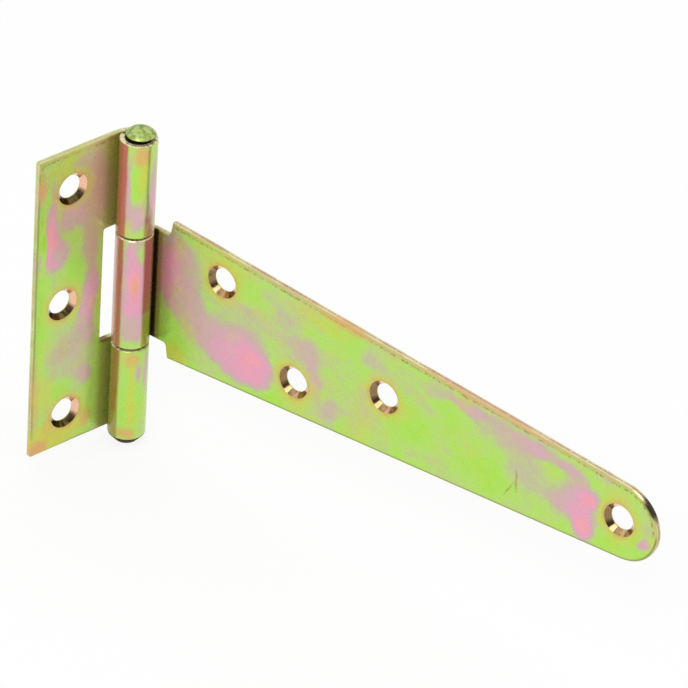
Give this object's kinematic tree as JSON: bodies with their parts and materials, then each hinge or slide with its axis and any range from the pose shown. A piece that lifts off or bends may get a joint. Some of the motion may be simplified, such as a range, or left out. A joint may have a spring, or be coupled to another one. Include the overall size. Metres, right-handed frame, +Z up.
{
  "type": "tee hinge",
  "caption": "Light tee gate hinge of rolled sheet steel: a butt plate and a long tapered strap on a riveted pin.",
  "frame": {"origin": "middle of the butt plate's flat back, between its outer edge and the pin's axis", "axes": "+Y out of the butt plate's back, into the post it is screwed to; +Z up the pin; the strap swings forward to -Y"},
  "size_m": [0.0599, 0.1521, 0.0879],
  "materials": {
    "plate_zinc": "yellow passivated zinc",
    "strap_zinc": "yellow passivated zinc",
    "pin_zinc": "yellow passivated zinc"
  },
  "bodies": {
    "butt": {"butt_plate": "plate_zinc", "hinge_pin": "pin_zinc"},
    "strap": {"strap": "strap_zinc"}
  },
  "joints": [
    {"name": "strap_swing", "type": "hinge", "parent": "butt", "child": "strap", "pos_m": [0.01285, -0.00575, 0], "axis": [0, 0, 1], "range_deg": [-118, 166]}
  ]
}
